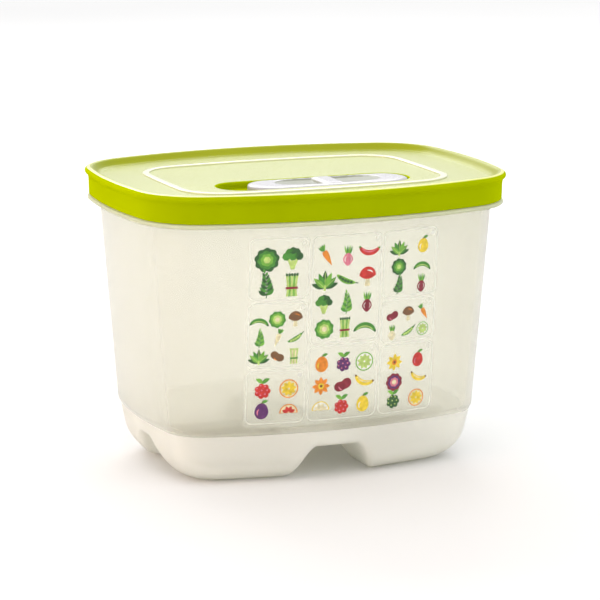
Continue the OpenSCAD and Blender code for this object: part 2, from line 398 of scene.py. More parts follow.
def ink(name, base, dark=0.72, light=1.18):
    m, nt, p = new_mat("ink_" + name)
    tc = node(nt, "ShaderNodeTexCoord")
    n = noise(nt, tc, 520.0, 3.0, 0.6)
    c = ramp(
        nt,
        n.outputs["Fac"],
        [
            (0.30, [x * dark for x in base]),
            (0.72, [min(1.0, x * light + 0.01) for x in base]),
        ],
    )
    nt.links.new(c.outputs["Color"], p.inputs["Base Color"])
    f = noise(nt, tc, 2400.0, 1.0, 0.5)
    nt.links.new(span(nt, f.outputs["Fac"], 0.30, 0.42), p.inputs["Roughness"])
    return m


INKS = [
    ("dark_green", (0.020, 0.105, 0.018)),
    ("green", (0.060, 0.280, 0.025)),
    ("leaf", (0.180, 0.470, 0.045)),
    ("pale_green", (0.520, 0.700, 0.180)),
    ("yellow", (0.880, 0.640, 0.030)),
    ("orange", (0.820, 0.250, 0.012)),
    ("red", (0.620, 0.025, 0.016)),
    ("crimson", (0.260, 0.010, 0.028)),
    ("purple", (0.115, 0.020, 0.140)),
    ("pink", (0.760, 0.200, 0.280)),
    ("brown", (0.200, 0.090, 0.030)),
    ("cream", (0.820, 0.740, 0.450)),
    ("milk", (0.900, 0.900, 0.820)),
]
INK_ID = {name: k for k, (name, _) in enumerate(INKS)}
INK_MATS = [ink(name, [0.82 * q for q in col]) for name, col in INKS]
MARK = satin("film_marks", (0.90, 0.92, 0.80), 0.30, 0.40, 2000.0, 0.00001)


# --------------------------------------------------------------------- tub
def smax(a, b, k):
    if k <= 1e-6:
        return max(a, b)
    h = max(k - abs(a - b), 0.0) / k
    return max(a, b) + h * h * k * 0.25


def flank(t, top, foot, h):
    u = min(max((abs(t) - top) / (foot - top), 0.0), 1.0)
    return h * (1 - u * u * (3 - 2 * u))


def channels(x, y):
    cy = flank(x, ARCH_TOP, ARCH_Y, ARCH_H)
    cx = flank(y, ARCH_TOP_X, ARCH_X, ARCH_H - 0.05)
    return smax(cy, cx, min(3.0, cy, cx))


def base_in(z):
    u = max(0.0, (ROUND_H - z) / ROUND_H)
    return (
        STEP_IN
        + math.tan(DRAFT) * (STEP - z)
        + ROUND_W * (1 - math.sqrt(1 - u * u))
    )


def wall_in(z):
    return LOW_IN + (TOP_IN - LOW_IN) * (z - 28.8) / (FLANGE - 28.8)


def build_tub():
    sh = Shell()
    # outer rings of the floor and the rounded base, bent over the channels
    rows = []
    foot = outline(base_in(0.0))
    for s in (
        0.02, 0.05, 0.09, 0.13, 0.18, 0.23, 0.28, 0.34, 0.40, 0.46, 0.52,
        0.58, 0.64, 0.70, 0.76, 0.82, 0.88, 0.93, 0.97, 1.0,
    ):
        rows.append([(x * s, y * s, 0.0) for x, y in foot])
    for z in (
        0.06, 0.25, 0.6, 1.1, 1.8, 2.7, 3.8, 5.1, 6.5, 8.0, 9.5, 11.0, 12.5,
        14.0, 15.4, 16.8, 18.2, 19.6, 21.0, 22.4, 23.8,
    ):
        rows.append(level(base_in(z), z))
    bent = []
    for row in rows:
        bent.append(
            [(x, y, smax(z, channels(x, y), min(9.6, z))) for x, y, z in row]
        )
    n = len(bent[0])
    # the inside follows the outside at the wall thickness
    inner = []
    for j in range(len(bent)):
        a, b = bent[max(j - 1, 0)], bent[min(j + 1, len(bent) - 1)]
        row = []
        for i in range(n):
            t = Vector(bent[j][(i + 1) % n]) - Vector(bent[j][i - 1])
            s = Vector(b[i]) - Vector(a[i])
            nv = s.cross(t)
            nv.normalize()
            if nv.z < 0:
                nv = -nv
            p = Vector(bent[j][i]) + nv * WALL
            row.append(tuple(p))
        inner.append(row)
    outer = [sh.ring(r) for r in bent]
    up = [
        sh.ring(level(d, z))
        for d, z in (
            (17.15, 25.0), (16.98, 25.7), (16.84, 26.2), (16.60, 26.7),
            (16.25, 27.3), (15.95, 27.9), (15.75, 28.5), (15.66, 29.2),
            (wall_in(31), 31.0), (wall_in(40), 40.0), (wall_in(55), 55.0),
            (wall_in(72), 72.0), (wall_in(90), 90.0), (wall_in(108), 108.0),
            (wall_in(122), 122.0), (wall_in(128), 128.0), (7.55, 129.4),
            (7.30, 130.1), (6.80, 130.5), (6.00, 130.62), (2.60, 130.62),
            (1.75, 130.72), (1.42, 131.0), (1.32, 131.4), (1.32, 131.9),
            (1.42, 132.3), (1.75, 132.54), (2.40, 132.6), (4.20, 132.6),
            (4.55, 132.7), (4.70, 133.1), (4.70, 137.6), (4.55, 138.1),
            (4.35, 138.8), (4.50, 139.5), (4.75, 140.2), (5.05, 140.8),
            (5.45, 141.12), (5.90, 141.2), (6.25, 141.08), (6.45, 140.75),
            (6.50, 140.3), (6.50, 133.6), (6.60, 132.9), (7.10, 132.0),
            (8.10, 131.1), (8.90, 130.2), (9.22, 129.2), (9.40, 127.6),
            (wall_in(120) + WALL, 120.0), (wall_in(106) + WALL, 106.0),
            (wall_in(88) + WALL, 88.0), (wall_in(70) + WALL, 70.0),
            (wall_in(52) + WALL, 52.0), (wall_in(38) + WALL, 38.0),
            (wall_in(31) + WALL, 31.0), (17.50, 29.4), (17.62, 28.8),
            (17.95, 28.1), (18.35, 27.4), (18.65, 26.7), (18.85, 25.9),
        )
    ]
    down = [sh.ring(r) for r in reversed(inner)]
    sh.loft(outer + up + down)
    lip = {i for ring in up[17:29] for i in ring}
    inside = {i for ring in down for i in ring}
    sh.fan(outer[0], (0.0, 0.0, channels(0, 0)))
    sh.fan(down[-1], (0.0, 0.0, channels(0, 0) + WALL))
    # the denser base takes its own finish
    for k, f in enumerate(sh.f):
        zs = [sh.v[i][2] for i in f]
        if max(zs) < 26.0:
            sh.m[k] = 0 if inside & set(f) else 1
        # the flange lip takes the lime-tinted rim plastic, a painted glow from the lid above it
        elif lip.issuperset(f):
            sh.m[k] = 2
    return sh.make(
        "tub_shell",
        [MILKY, MILKY_BASE, MILKY_RIM_PAINTED_GLOW],
        "tub",
        "milky_plastic",
        50,
        ["tub"],
    )


# --------------------------------------------------------------------- lid
def build_lid():
    sh = Shell()
    zc, rx, rz = TOP - 1.9, 2.5, 1.9
    prof = [
        (8.9, PANEL), (8.3, PANEL + 0.01), (7.7, PANEL + 0.06),
        (7.1, PANEL + 0.18), (6.5, PANEL + 0.41), (5.95, PANEL + 0.77),
        (5.4, PANEL + 1.27), (4.95, PANEL + 1.82), (4.55, PANEL + 2.34),
        (4.15, PANEL + 2.79), (3.7, PANEL + 3.12), (3.15, PANEL + 3.32),
    ]
    inner_n = len(prof)
    for g in (90, 78, 66, 54, 42, 30, 20, 10, 0, -12, -24, -36, -48):
        t = math.radians(g)
        prof.append((rx - rx * math.cos(t), zc + rz * math.sin(t)))
    prof += [
        (1.12, TOP - 3.62), (1.42, TOP - 4.05), (1.62, TOP - 4.6),
        (1.74, TOP - 5.3), (1.80, TOP - 6.2), (1.86, 138.0), (1.98, 134.4),
        (2.04, 133.6), (2.22, 133.12), (2.6, 132.92), (3.4, 132.92),
        (3.76, 133.05), (3.92, 133.4), (3.92, 140.4), (4.10, 141.0),
        (4.6, 141.4), (6.2, 141.4), (6.75, 141.15), (6.98, 140.6),
        (7.0, 136.0), (7.02, 134.4), (7.15, 133.75), (7.5, 133.42),
        (8.0, 133.4), (8.4, 133.6), (8.6, 134.1), (8.62, 135.4),
        (8.66, 140.4), (8.85, 141.2), (9.35, 141.68), (10.1, 141.8),
        (10.6, 141.8),
    ]
    rings = [sh.ring(level(d, z)) for d, z in prof]
    # glossy panel, duller slope, a paler crest that is a painted highlight, satin skirt
    sh.loft(rings[:3], 1)
    sh.loft(rings[2 : inner_n + 1], 3)
    sh.loft(rings[inner_n : inner_n + 4], 2)
    sh.loft(rings[inner_n + 3 :], 0)
    # well: soft top edge, straight wall, filleted floor
    well = [
        sh.ring(stadium(0, VENT_Y, WELL_L, WELL_W, o, z))
        for o, z in (
            (1.15, PANEL), (0.8, PANEL), (0.5, PANEL - 0.05),
            (0.22, PANEL - 0.22), (0.05, PANEL - 0.5), (0.0, PANEL - 0.9),
            (0.0, WELL_Z + 0.7), (-0.06, WELL_Z + 0.35),
            (-0.25, WELL_Z + 0.1), (-0.6, WELL_Z), (-0.95, WELL_Z),
        )
    ]
    sh.loft(well[:2], 1)
    sh.loft(well[1:], 0)
    sh.fill([rings[0], well[0]], 1)
    # slots for the stems and the two vent holes, through the well's floor
    under = WELL_Z - 1.6
    cuts_top, cuts_low = [], []
    for s in (-1, 1):
        x = REST_X + s * STEM_X - TRAVEL / 2
        lo, hi = [], []
        t0 = sh.ring(stadium(x, VENT_Y, 20.5, 4.4, 0.25, WELL_Z, 10, 5))
        t1 = sh.ring(stadium(x, VENT_Y, 20.5, 4.4, 0.0, WELL_Z - 0.25, 10, 5))
        t2 = sh.ring(stadium(x, VENT_Y, 20.5, 4.4, 0.0, under, 10, 5))
        sh.loft([t0, t1, t2], 0)
        cuts_top.append(t0)
        cuts_low.append(t2)
    for x in (-8.0, 0.0):
        t0 = sh.ring(circle(x, VENT_Y, 2.75, WELL_Z))
        t1 = sh.ring(circle(x, VENT_Y, 2.5, WELL_Z - 0.25))
        t2 = sh.ring(circle(x, VENT_Y, 2.5, under))
        sh.loft([t0, t1, t2], 0)
        cuts_top.append(t0)
        cuts_low.append(t2)
    sh.fill([well[-1]] + cuts_top, 0)
    block = [
        sh.ring(stadium(0, VENT_Y, WELL_L + 3, WELL_W + 3, o, z))
        for o, z in (
            (-0.7, under), (-0.4, under), (-0.12, under + 0.12),
            (0.0, under + 0.4), (0.0, 141.1), (0.1, 141.5), (0.4, 141.74),
            (0.8, 141.8), (1.1, 141.8),
        )
    ]
    sh.fill([block[0]] + cuts_low, 0)
    sh.loft(block, 0)
    sh.fill([rings[-1], block[-1]], 0)
    # rails for the gate, under the well
    for s in (-1, 1):
        y = VENT_Y + s * 8.7
        r = [
            sh.ring(stadium(0, y, WELL_L - 12, 1.2, o, z, 6, 10))
            for o, z in (
                (0.0, under + 0.1), (0.0, under - 1.2), (-0.15, under - 1.45),
                (-0.35, under - 1.5),
            )
        ]
        sh.loft(r, 0)
        sh.fill([r[0]], 0)
        sh.fill([r[-1]], 0)
    lid = sh.make("lid_moulding", [LIME, LIME_PANEL, LIME_CREST_PAINTED_HIGHLIGHT, LIME_SLOPE], "lid", "lime_plastic", 40, ["lid"])
    # the raised outline, a bead of its own on the panel, in a pale colour that is a painted highlight
    sh = Shell()
    hoop = [
        sh.ring(ridge_level(o, PANEL + z))
        for o, z in (
            (-1.85, -0.2), (-1.85, 0.25), (-1.76, 0.5), (-1.5, 0.68),
            (-1.0, 0.77), (0.0, 0.8), (1.0, 0.77), (1.5, 0.68), (1.76, 0.5),
            (1.85, 0.25), (1.85, -0.2),
        )
    ]
    sh.loft(hoop, 0, closed=True)
    sh.make("lid_outline_ridge", [RIDGE_PAINTED_HIGHLIGHT], "lid", "lime_plastic", 60)
    return lid


# ------------------------------------------------------------------ slider
def build_slider():
    sh = Shell()
    z0, top = WELL_Z + 0.1, PANEL + 0.35
    r, h = SLIDER_W / 2, (SLIDER_L - SLIDER_W) / 2
    inset = 0.30
    ri = r - inset
    cols = [-(h + ri * math.cos(math.radians(7.5 * i))) for i in range(12)]
    nmid = 84
    cols += [-h + 2 * h * i / nmid for i in range(nmid + 1)]
    cols += [h + ri * math.sin(math.radians(7.5 * (i + 1))) for i in range(12)]
    rows_n = 40

    def height(x, y):
        """Pillow edge, two finger dishes that deepen towards the bar, and the bar."""
        ax = abs(x)
        d = r - math.hypot(max(ax - h, 0.0), y)
        e = max(1 - d / 3.4, 0.0)
        z = top - 0.06 * (y / r) ** 2 - 1.25 * (1 - math.sqrt(max(1 - e * e, 0.0)))
        u = (ax - 4.2) / 24.6
        v = (y - 0.9) / 9.6
        s = 1 - (max(u, 0.0) ** 2.4 + abs(v) ** 2.4)
        if s > 0 and ax > 4.2:
            edge = min(s / 0.25, 1.0)
            edge = edge * edge * (3 - 2 * edge)
            wall = min((ax - 4.2) / 1.6, 1.0)
            wall = wall * wall * (3 - 2 * wall)
            z -= (0.40 + 1.25 * (1 - u) * (1 - 0.55 * v * v)) * edge * wall
        # the grip bar stands a little proud
        bx = min(max((4.6 - ax) / 1.1, 0.0), 1.0)
        by = min(max((r - 2.4 - abs(y)) / 1.4, 0.0), 1.0)
        q = bx * bx * (3 - 2 * bx) * by * by * (3 - 2 * by)
        return z + 0.45 * q

    def half(x):
        ax = abs(x)
        return ri if ax <= h else math.sqrt(max(ri * ri - (ax - h) ** 2, 0.0))

    grid = []
    for i, x in enumerate(cols):
        w = half(x)
        if w < 1e-6:
            sh.v.append((REST_X + x, VENT_Y, height(x, 0.0)))
            grid.append([len(sh.v) - 1])
            continue
        col = []
        for j in range(rows_n + 1):
            v = -1 + 2 * j / rows_n
            v = math.copysign(1 - (1 - abs(v)) ** 1.12, v)
            y = w * v
            col.append(len(sh.v))
            sh.v.append((REST_X + x, VENT_Y + y, height(x, y)))
        grid.append(col)
    for a, b in zip(grid, grid[1:]):
        if len(a) == 1 and len(b) == 1:
            continue
        if len(a) == 1:
            for j in range(rows_n):
                sh.face((a[0], b[j], b[j + 1]))
        elif len(b) == 1:
            for j in range(rows_n):
                sh.face((a[j], b[0], a[j + 1]))
        else:
            for j in range(rows_n):
                ids = (a[j], b[j], b[j + 1], a[j + 1])
                # faces inside the finger dishes get the grey material, painted shade for the hollows
                lx = sum(sh.v[i][0] for i in ids) / 4 - REST_X
                ly = sum(sh.v[i][1] for i in ids) / 4 - VENT_Y
                u = (abs(lx) - 4.9) / 23.6
                inside = u > 0 and u**2.4 + abs((ly - 0.9) / 9.6) ** 2.4 < 0.93
                sh.face(ids, 1 if inside else 0)
    first = [grid[0][0]] if len(grid[0]) == 1 else list(grid[0])[::-1]
    last = [grid[-1][0]] if len(grid[-1]) == 1 else list(grid[-1])
    loop = (
        first
        + [c[0] for c in grid[1:-1]]
        + last
        + [c[-1] for c in reversed(grid[1:-1])]
    )

    def around(off, z):
        pts = []
        for i in loop:
            x, y, _ = sh.v[i]
            lx = x - REST_X
            mx = max(-h, min(h, lx))
            dx, dy = lx - mx, y - VENT_Y
            d = math.hypot(dx, dy)
            pts.append(
                (
                    REST_X + mx + dx / d * (ri + off),
                    VENT_Y + dy / d * (ri + off),
                    z,
                )
            )
        return pts

    rings = [loop] + [
        sh.ring(around(o, z))
        for o, z in (
            (0.16, top - 1.10), (0.27, top - 1.35), (0.30, top - 1.7),
            (0.30, z0 + 0.3), (0.20, z0 + 0.08), (0.0, z0), (-1.2, z0),
            (-1.3, z0 + 0.1), (-1.3, z0 + 0.8), (-1.45, z0 + 0.9),
        )
    ]
    sh.loft(rings)
    sh.fill([rings[-1]])
    for s in (-1, 1):
        cx = REST_X + s * STEM_X
        stem = [
            sh.ring(circle(cx, VENT_Y, q, z, 28))
            for q, z in (
                (3.4, z0 + 1.0), (3.4, z0 + 0.2), (3.1, z0), (2.3, z0),
                (2.0, z0 - 0.3), (2.0, WELL_Z - 3.3), (2.5, WELL_Z - 3.6),
                (2.45, WELL_Z - 3.75), (1.6, WELL_Z - 4.45),
                (1.3, WELL_Z - 4.5),
            )
        ]
        sh.loft(stem)
        sh.fill([stem[0]])
        sh.fill([stem[-1]])
    return sh.make(
        "vent_shuttle", [WHITE, DISH_PAINTED_SHADE], "shuttle", "white_plastic", 42, ["vent_slider"]
    )


# -------------------------------------------------------------- print film
def on_film(x, z, g):
    """A point g outside the front wall at x along it and height z."""
    d = wall_in(z) - g
    R = BOW_L - d
    return (x, -(B - d - R + math.sqrt(R * R - x * x)), z)


def build_film():
    sh = Shell()
    nx, r = 44, 4.0
    rows = []
    for i in range(7):
        g = math.radians(15 * i)
        rows.append((FILM_LOW + r * (1 - math.cos(g)), FILM_L / 2 - r * (1 - math.sin(g))))
    for i in range(1, 12):
        rows.append((FILM_LOW + r + (FILM_TOP - FILM_LOW - 2 * r) * i / 12, FILM_L / 2))
    for i in range(6, -1, -1):
        g = math.radians(15 * i)
        rows.append((FILM_TOP - r * (1 - math.cos(g)), FILM_L / 2 - r * (1 - math.sin(g))))
    skins = []
    for g in (0.03 + FILM_T, 0.03):
        skins.append(
            [
                sh.ring([on_film(w * (2 * i / nx - 1), z, g) for i in range(nx + 1)])
                for z, w in rows
            ]
        )
    k = len(rows)
    for s in skins:
        for j in range(k - 1):
            for i in range(nx):
                sh.face((s[j][i], s[j][i + 1], s[j + 1][i + 1], s[j + 1][i]))

    def edge(s):
        return (
            s[0]
            + [s[j][nx] for j in range(1, k)]
            + s[k - 1][:nx][::-1]
            + [s[j][0] for j in range(k - 2, 0, -1)]
        )

    sh.bridge(edge(skins[0]), edge(skins[1]))
    return sh.make(
        "film_sheet", [FILM], "tub", "print_film", 50, ["print_film"]
    )


# ------------------------------------------------ printed figures, as thin ink
G0 = 0.03 + FILM_T


class Ink:
    """Draws thin closed patches on the film. Every patch is a grid that follows the curved wall."""

    def __init__(self):
        self.sh = Shell()

    def patch(self, rows, col, layer, closed=True):
        """rows: equal lists of (x, z), from one edge to the other."""
        sh = self.sh
        m = INK_ID[col]
        g1 = G0 + 0.030 + 0.022 * layer
        tops = [sh.ring([on_film(x, z, g1) for x, z in row]) for row in rows]
        lows = [sh.ring([on_film(x, z, G0 - 0.01) for x, z in row]) for row in rows]
        n = len(rows[0])
        for a, b in ((tops, False), (lows, True)):
            for j in range(len(rows) - 1):
                for i in range(n - 1):
                    sh.face((a[j][i], a[j][i + 1], a[j + 1][i + 1], a[j + 1][i]), m)

        def rim(s):
            return (
                s[0]
                + [q[-1] for q in s[1:]]
                + s[-1][:-1][::-1]
                + [q[0] for q in reversed(s[1:-1])]
            )

        sh.bridge(rim(tops), rim(lows), m)

    def blob(self, cx, cz, radius, col, layer=0, n=22, rot=0.0):
        """A round patch; radius is a number or a function of the angle."""
        sh = self.sh
        m = INK_ID[col]
        f = radius if callable(radius) else (lambda t: radius)
        g1 = G0 + 0.030 + 0.022 * layer
        big = max(f(2 * math.pi * i / n) for i in range(n))
        steps = max(1, int(math.ceil(big / 1.6)))

        def ring(s, g):
            pts = []
            for i in range(n):
                t = 2 * math.pi * i / n
                q = f(t) * s
                pts.append(
                    on_film(cx + q * math.cos(t + rot), cz + q * math.sin(t + rot), g)
                )
            return sh.ring(pts)

        tops = [ring((k + 1) / steps, g1) for k in range(steps)]
        lows = [ring((k + 1) / steps, G0 - 0.01) for k in range(steps)]
        sh.fan(tops[0], on_film(cx, cz, g1), m)
        sh.fan(lows[0], on_film(cx, cz, G0 - 0.01), m)
        sh.loft(tops, m)
        sh.loft(lows, m)
        sh.bridge(tops[-1], lows[-1], m)

    def strip(self, pts, widths, col, layer=0):
        """A band along pts, with its half width at each point."""
        left, right = [], []
        for i, p in enumerate(pts):
            a, b = pts[max(i - 1, 0)], pts[min(i + 1, len(pts) - 1)]
            dx, dz = b[0] - a[0], b[1] - a[1]
            d = math.hypot(dx, dz) or 1.0
            w = max(widths[i], 0.03)
            left.append((p[0] - dz / d * w, p[1] + dx / d * w))
            right.append((p[0] + dz / d * w, p[1] - dx / d * w))
        across = max(2, int(math.ceil(max(widths) * 2 / 2.0)))
        rows = [
            [
                (
                    l[0] + (q[0] - l[0]) * k / across,
                    l[1] + (q[1] - l[1]) * k / across,
                )
                for k in range(across + 1)
            ]
            for l, q in zip(left, right)
        ]
        self.patch(rows, col, layer)

    def leaf(self, x, z, length, width, ang, col, layer=0, bend=0.0, n=9, vein=None):
        """A pointed leaf from its stalk end at (x, z)."""
        pts, ws = [], []
        a = math.radians(ang)
        for i in range(n + 1):
            t = i / n
            s = t * length
            q = bend * length * math.sin(math.pi * t)
            pts.append(
                (
                    x + s * math.cos(a) - q * math.sin(a),
                    z + s * math.sin(a) + q * math.cos(a),
                )
            )
            ws.append(width * math.sin(math.pi * min(0.02 + t * 0.97, 1.0)) ** 0.85 * (1.08 - 0.25 * t) / 2)
        self.strip(pts, ws, col, layer)
        if vein:
            self.strip(pts[1:-1], [0.10 + 0.05 * (1 - i / n) for i in range(n - 1)], vein, layer + 1)

    def arc(self, cx, cz, r, a0, a1, width, col, layer=0, n=12, taper=True):
        pts = [
            (
                cx + r * math.cos(math.radians(a0 + (a1 - a0) * i / n)),
                cz + r * math.sin(math.radians(a0 + (a1 - a0) * i / n)),
            )
            for i in range(n + 1)
        ]
        ws = [
            (width / 2) * ((math.sin(math.pi * (0.04 + 0.92 * i / n)) ** 0.45) if taper else 1.0)
            for i in range(n + 1)
        ]
        self.strip(pts, ws, col, layer)

    def outline_box(self, x0, x1, z0, z1, r, width, col, layer=0):
        """A hairline frame with round corners."""
        mid = []
        nxs = max(4, int((x1 - x0 - 2 * r) / 2.2))
        nzs = max(4, int((z1 - z0 - 2 * r) / 4.0))

        def side(ax, az, bx, bz, n):
            return [(ax + (bx - ax) * i / n, az + (bz - az) * i / n) for i in range(n)]

        def bend(cx, cz, a0):
            return [
                (
                    cx + r * math.cos(math.radians(a0 + 15 * i)),
                    cz + r * math.sin(math.radians(a0 + 15 * i)),
                )
                for i in range(6)
            ]

        mid += side(x0 + r, z0, x1 - r, z0, nxs)
        mid += bend(x1 - r, z0 + r, -90)
        mid += side(x1, z0 + r, x1, z1 - r, nzs)
        mid += bend(x1 - r, z1 - r, 0)
        mid += side(x1 - r, z1, x0 + r, z1, nxs)
        mid += bend(x0 + r, z1 - r, 90)
        mid += side(x0, z1 - r, x0, z0 + r, nzs)
        mid += bend(x0 + r, z0 + r, 180)
        self.loop_band(mid, width, col, layer)

    def loop_band(self, mid, width, col, layer=0):
        sh = self.sh
        m = INK_ID[col]
        n = len(mid)
        g1 = G0 + 0.030 + 0.022 * layer
        a, b = [], []
        for i in range(n):
            p, q = mid[i - 1], mid[(i + 1) % n]
            dx, dz = q[0] - p[0], q[1] - p[1]
            d = math.hypot(dx, dz) or 1.0
            w = width / 2
            a.append((mid[i][0] + dz / d * w, mid[i][1] - dx / d * w))
            b.append((mid[i][0] - dz / d * w, mid[i][1] + dx / d * w))
        rings = [
            sh.ring([on_film(x, z, g1) for x, z in a]),
            sh.ring([on_film(x, z, g1) for x, z in b]),
            sh.ring([on_film(x, z, G0 - 0.01) for x, z in b]),
            sh.ring([on_film(x, z, G0 - 0.01) for x, z in a]),
        ]
        sh.loft(rings, m, closed=True)

    # ---- motifs, all s millimetres across
    def sprig(self, x, z, s, rnd, cols=("green", "leaf")):
        lean = rnd.uniform(-12, 12)
        a = math.radians(90 + lean)
        pts = [
            (
                x + (t - 0.5) * s * math.cos(a) + 0.06 * s * math.sin(3 * t),
                z + (t - 0.5) * s * math.sin(a),
            )
            for t in [i / 8 for i in range(9)]
        ]
        self.strip(pts, [0.22 - 0.015 * i for i in range(9)], cols[0], 0)
        for k in range(1, 8):
            for side in (-1, 1):
                ln = s * (0.40 - 0.03 * k)
                self.leaf(
                    pts[k][0], pts[k][1], ln, ln * 0.46,
                    90 + lean + side * (58 - 4 * k), cols[(k + (side > 0)) % 2], 1 + k % 2, 0.06 * side, 7,
                )
        self.leaf(pts[-1][0], pts[-1][1], s * 0.2, s * 0.1, 90 + lean, cols[1], 3, 0, 6)

    def rosette(self, x, z, s, rnd, cols=("dark_green", "green", "leaf", "pale_green")):
        for k, c in enumerate(cols):
            q = s * (0.50 - 0.12 * k)
            m = 9 - k
            ph = rnd.uniform(0, 6)
            self.blob(
                x, z,
                lambda t, q=q, m=m, ph=ph: q * (0.86 + 0.14 * abs(math.cos(m * t / 2 + ph))),
                c, k, 44,
            )

    def berries(self, x, z, s, rnd, col="purple", hi="pink", n=8):
        r = s * 0.13
        spots = [(0, 0)] + [
            (math.cos(i * 6.2832 / (n - 1)), math.sin(i * 6.2832 / (n - 1))) for i in range(n - 1)
        ]
        self.leaf(x, z + s * 0.30, s * 0.40, s * 0.2, 35, "green", 0, 0.1, 8, "leaf")
        self.leaf(x, z + s * 0.30, s * 0.40, s * 0.2, 145, "leaf", 0, -0.1, 8)
        for k, (u, v) in enumerate(spots):
            cx, cz = x + u * s * 0.25, z - s * 0.06 + v * s * 0.24
            self.blob(cx, cz, r, col, 2 + k % 3, 16)
            self.blob(cx - r * 0.3, cz + r * 0.35, r * 0.3, hi, 5, 10)

    def slice(self, x, z, s, rnd, rind="orange", flesh="yellow", pith="cream", half=False):
        R = s * 0.46
        if not half:
            self.blob(x, z, R, rind, 0, 32)
            self.blob(x, z, R * 0.88, pith, 1, 32)
            for k in range(9):
                a = 40 * k + 8
                self.leaf(
                    x + R * 0.10 * math.cos(math.radians(a)),
                    z + R * 0.10 * math.sin(math.radians(a)),
                    R * 0.72, R * 0.44, a, flesh, 2, 0, 6,
                )
            return
        rows = []
        for q in (1.0, 0.75, 0.5, 0.25, 0.02):
            rows.append(
                [
                    (x + R * q * math.cos(math.radians(a)), z - R * 0.3 + R * q * math.sin(math.radians(a)))
                    for a in range(0, 181, 12)
                ]
            )
        self.patch(rows, rind, 0)
        rows = [
            [(x + (p[0] - x) * 0.87, z - R * 0.3 + 0.2 + (p[1] - z + R * 0.3) * 0.85) for p in row]
            for row in rows
        ]
        self.patch(rows, pith, 1)
        for k in range(4):
            a = 22 + 45 * k
            self.leaf(
                x + R * 0.1 * math.cos(math.radians(a)),
                z - R * 0.26 + R * 0.1 * math.sin(math.radians(a)),
                R * 0.66, R * 0.42, a, flesh, 2, 0, 6,
            )

    def mushroom(self, x, z, s, rnd, cap="brown", foot="cream"):
        self.strip(
            [(x, z - s * 0.42 + s * 0.09 * i) for i in range(6)],
            [s * w for w in (0.13, 0.14, 0.12, 0.11, 0.11, 0.12)], foot, 0,
        )
        self.blob(
            x, z + s * 0.10,
            lambda t: s * (0.44 if math.sin(t) > 0 else 0.44 - 0.27 * abs(math.sin(t)) ** 0.6),
            cap, 1, 34,
        )
        self.arc(x, z + s * 0.02, s * 0.34, 40, 95, s * 0.06, "orange" if cap == "brown" else "milk", 2)

    def drop(self, x, z, s, rnd, col="yellow", hi="milk", leafy=True):
        self.blob(
            x, z - s * 0.05,
            lambda t: s * (0.33 + 0.12 * math.sin(t) ** 3 * (1 if math.sin(t) > 0 else -0.15)),
            col, 0, 30,
        )
        self.arc(x + s * 0.02, z - s * 0.07, s * 0.22, 130, 215, s * 0.06, hi, 1)
        self.strip(
            [(x, z + s * 0.36), (x + 0.2, z + s * 0.43), (x + 0.5, z + s * 0.50)],
            [0.22, 0.18, 0.16], "brown", 1,
        )
        if leafy:
            self.leaf(x + 0.2, z + s * 0.40, s * 0.3, s * 0.15, 20, "green", 2, 0.1, 7, "leaf")

    def pod(self, x, z, s, rnd, shell_="green", pea="pale_green", tilt=30):
        a = math.radians(tilt)
        ca, sa = math.cos(a), math.sin(a)

        def at(u, v):
            return (x + u * ca - v * sa, z + u * sa + v * ca)

        pts = [at(s * (-0.5 + i / 12), -s * 0.10 * math.cos((i / 12 - 0.5) * 3.0)) for i in range(13)]
        self.strip(pts, [s * 0.13 * math.sin(math.pi * (0.03 + 0.94 * i / 12)) ** 0.6 for i in range(13)], shell_, 0)
        for k in range(5):
            p = at(s * (-0.30 + 0.15 * k), -s * 0.10 * math.cos((-0.30 + 0.15 * k) * 3.0))
            self.blob(p[0], p[1], s * 0.072, pea, 1, 14)
        e = at(s * 0.5, -s * 0.02)
        self.leaf(e[0], e[1], s * 0.16, s * 0.06, tilt + 20, "dark_green", 1, 0, 5)

    def bulb(self, x, z, s, rnd, col="pink", top="leaf"):
        for k, a in enumerate((66, 80, 95, 110)):
            self.leaf(x, z - s * 0.02, s * (0.50 + 0.03 * (k % 2)), s * 0.10, a, top if k % 2 else "green", k % 2, 0.05 * (k - 1.5), 8)
        self.blob(
            x, z - s * 0.20,
            lambda t: s * (0.25 + 0.06 * max(math.sin(t), 0) ** 6 + 0.07 * max(-math.sin(t), 0) ** 10),
            col, 2, 32,
        )
        self.arc(x, z - s * 0.2, s * 0.16, 120, 230, s * 0.04, "milk", 3)
        self.arc(x, z - s * 0.2, s * 0.17, -50, 50, s * 0.03, "milk", 3)

    def bundle(self, x, z, s, rnd, col="leaf", tip="dark_green", band="crimson"):
        for k in range(5):
            o = (k - 2) * s * 0.105
            pts = [(x + o * (0.75 + 0.55 * abs(t - 0.35)), z + s * (t - 0.5)) for t in [i / 7 for i in range(8)]]
            self.strip(pts, [s * 0.042] * 6 + [s * 0.05, s * 0.02], col if k % 2 else "pale_green", k % 2)
            self.leaf(pts[6][0], pts[6][1], s * 0.15, s * 0.11, 90 + (k - 2) * -4, tip, 2, 0, 6)
        self.strip(
            [(x + s * 0.26 * t, z - s * 0.14) for t in (-1, -0.5, 0, 0.5, 1)],
            [s * 0.05] * 5, band, 3,
        )

    def flower(self, x, z, s, rnd, col="orange", eye="yellow"):
        for k in range(8):
            a = 45 * k + rnd.uniform(-4, 4)
            self.leaf(
                x + s * 0.10 * math.cos(math.radians(a)), z + s * 0.10 * math.sin(math.radians(a)),
                s * 0.36, s * 0.22, a, col, k % 2, 0, 7,
            )
        self.blob(x, z, s * 0.15, eye, 3, 20)
        self.blob(x, z, s * 0.07, "brown", 4, 14)

